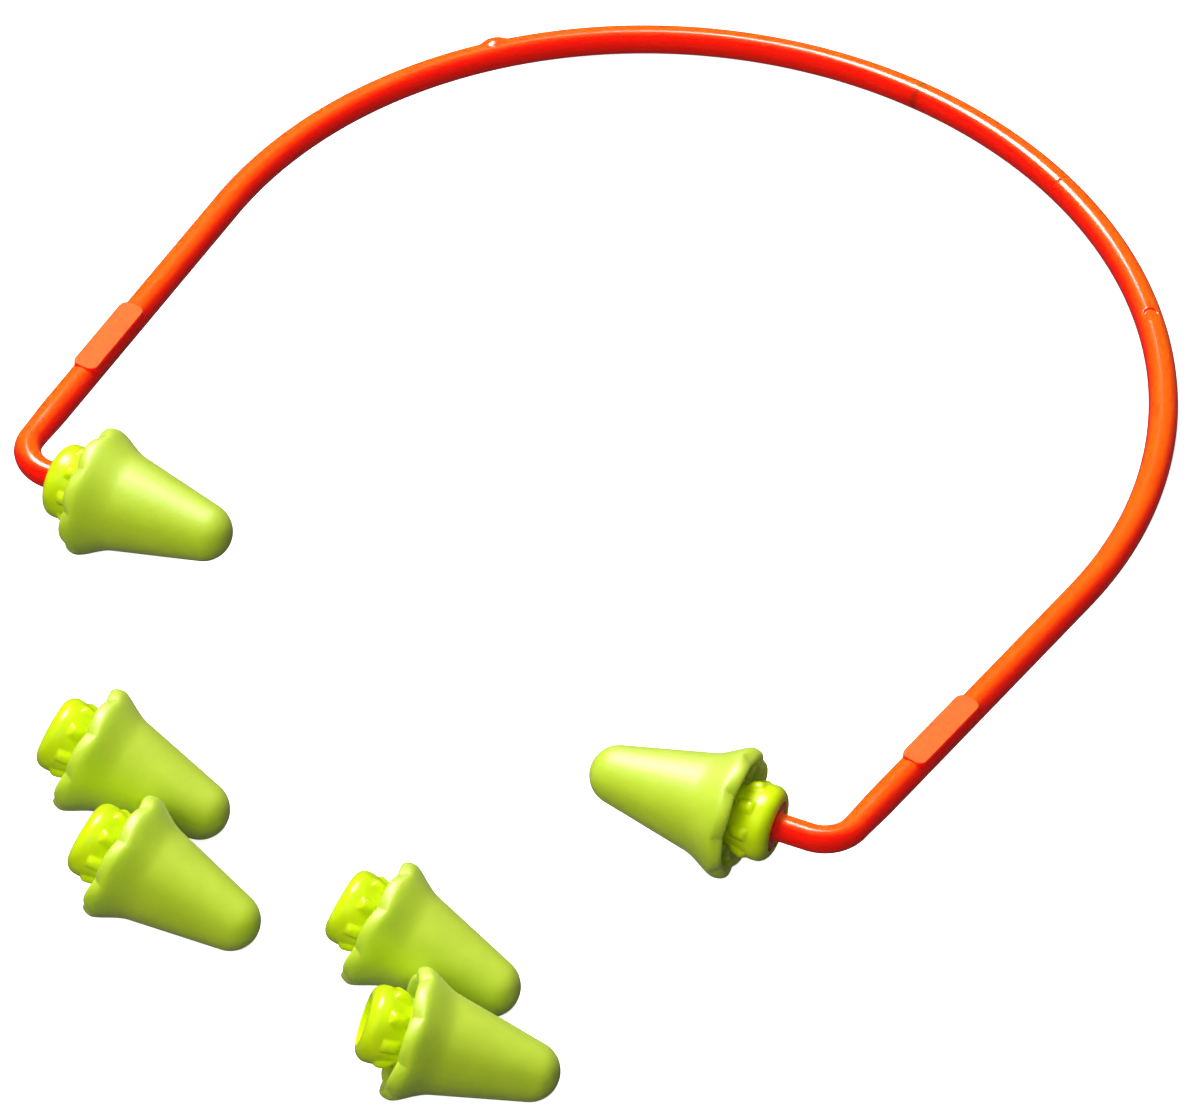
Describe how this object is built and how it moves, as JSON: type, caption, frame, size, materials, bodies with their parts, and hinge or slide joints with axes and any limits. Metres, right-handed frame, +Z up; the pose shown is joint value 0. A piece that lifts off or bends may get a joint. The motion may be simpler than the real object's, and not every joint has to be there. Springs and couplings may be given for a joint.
{
  "type": "banded ear plug hearing protector",
  "caption": "Round plastic under-chin band with inturned ends, each holding a soft flared foam ear pod on a push-fit hub, with loose spare pods.",
  "frame": {"origin": "on the surface that the set lies on, under the middle of its bounding box", "axes": "+Z up, +Y towards the crown of the band, +X across the band towards its right arm"},
  "size_m": [0.14, 0.1944, 0.0185],
  "materials": {
    "band_plastic": "glossy orange moulded plastic, slightly translucent",
    "pod_foam": "soft lime foam with a fine smooth skin",
    "hub_plastic": "glossy yellow-green moulded plastic"
  },
  "bodies": {
    "band": {"band_crown": "band_plastic"},
    "left_arm": {"band_left_arm": "band_plastic"},
    "right_arm": {"band_right_arm": "band_plastic"},
    "left_pod": {"left_foam_tip": "pod_foam", "left_hub": "hub_plastic"},
    "right_pod": {"right_foam_tip": "pod_foam", "right_hub": "hub_plastic"},
    "spare_1": {"spare_1_foam_tip": "pod_foam", "spare_1_hub": "hub_plastic"},
    "spare_2": {"spare_2_foam_tip": "pod_foam", "spare_2_hub": "hub_plastic"},
    "spare_3": {"spare_3_foam_tip": "pod_foam", "spare_3_hub": "hub_plastic"},
    "spare_4": {"spare_4_foam_tip": "pod_foam", "spare_4_hub": "hub_plastic"}
  },
  "joints": [
    {"name": "left_flex", "type": "hinge", "parent": "band", "child": "left_arm", "pos_m": [-0.0431, 0.08235, 0.00273], "axis": [0, -0.0557, -0.9984], "range_deg": [0, 18], "stiffness_Nm_per_rad": 0.8},
    {"name": "right_flex", "type": "hinge", "parent": "band", "child": "right_arm", "pos_m": [0.0431, 0.08235, 0.00273], "axis": [0, 0.0557, 0.9984], "range_deg": [0, 18], "stiffness_Nm_per_rad": 0.8},
    {"name": "left_pod_pull", "type": "slide", "parent": "left_arm", "child": "left_pod", "axis": [0.9934, 0.1148, -0.0064], "range_m": [0, 0.01]},
    {"name": "right_pod_pull", "type": "slide", "parent": "right_arm", "child": "right_pod", "axis": [-0.9857, -0.1682, 0.0094], "range_m": [0, 0.01]},
    {"name": "spare_1_lift", "type": "slide", "parent": "band", "child": "spare_1", "axis": [0, 0, 1], "range_m": [0, 0.04]},
    {"name": "spare_2_lift", "type": "slide", "parent": "band", "child": "spare_2", "axis": [0, 0, 1], "range_m": [0, 0.04]},
    {"name": "spare_3_lift", "type": "slide", "parent": "band", "child": "spare_3", "axis": [0, 0, 1], "range_m": [0, 0.04]},
    {"name": "spare_4_lift", "type": "slide", "parent": "band", "child": "spare_4", "axis": [0, 0, 1], "range_m": [0, 0.04]}
  ]
}
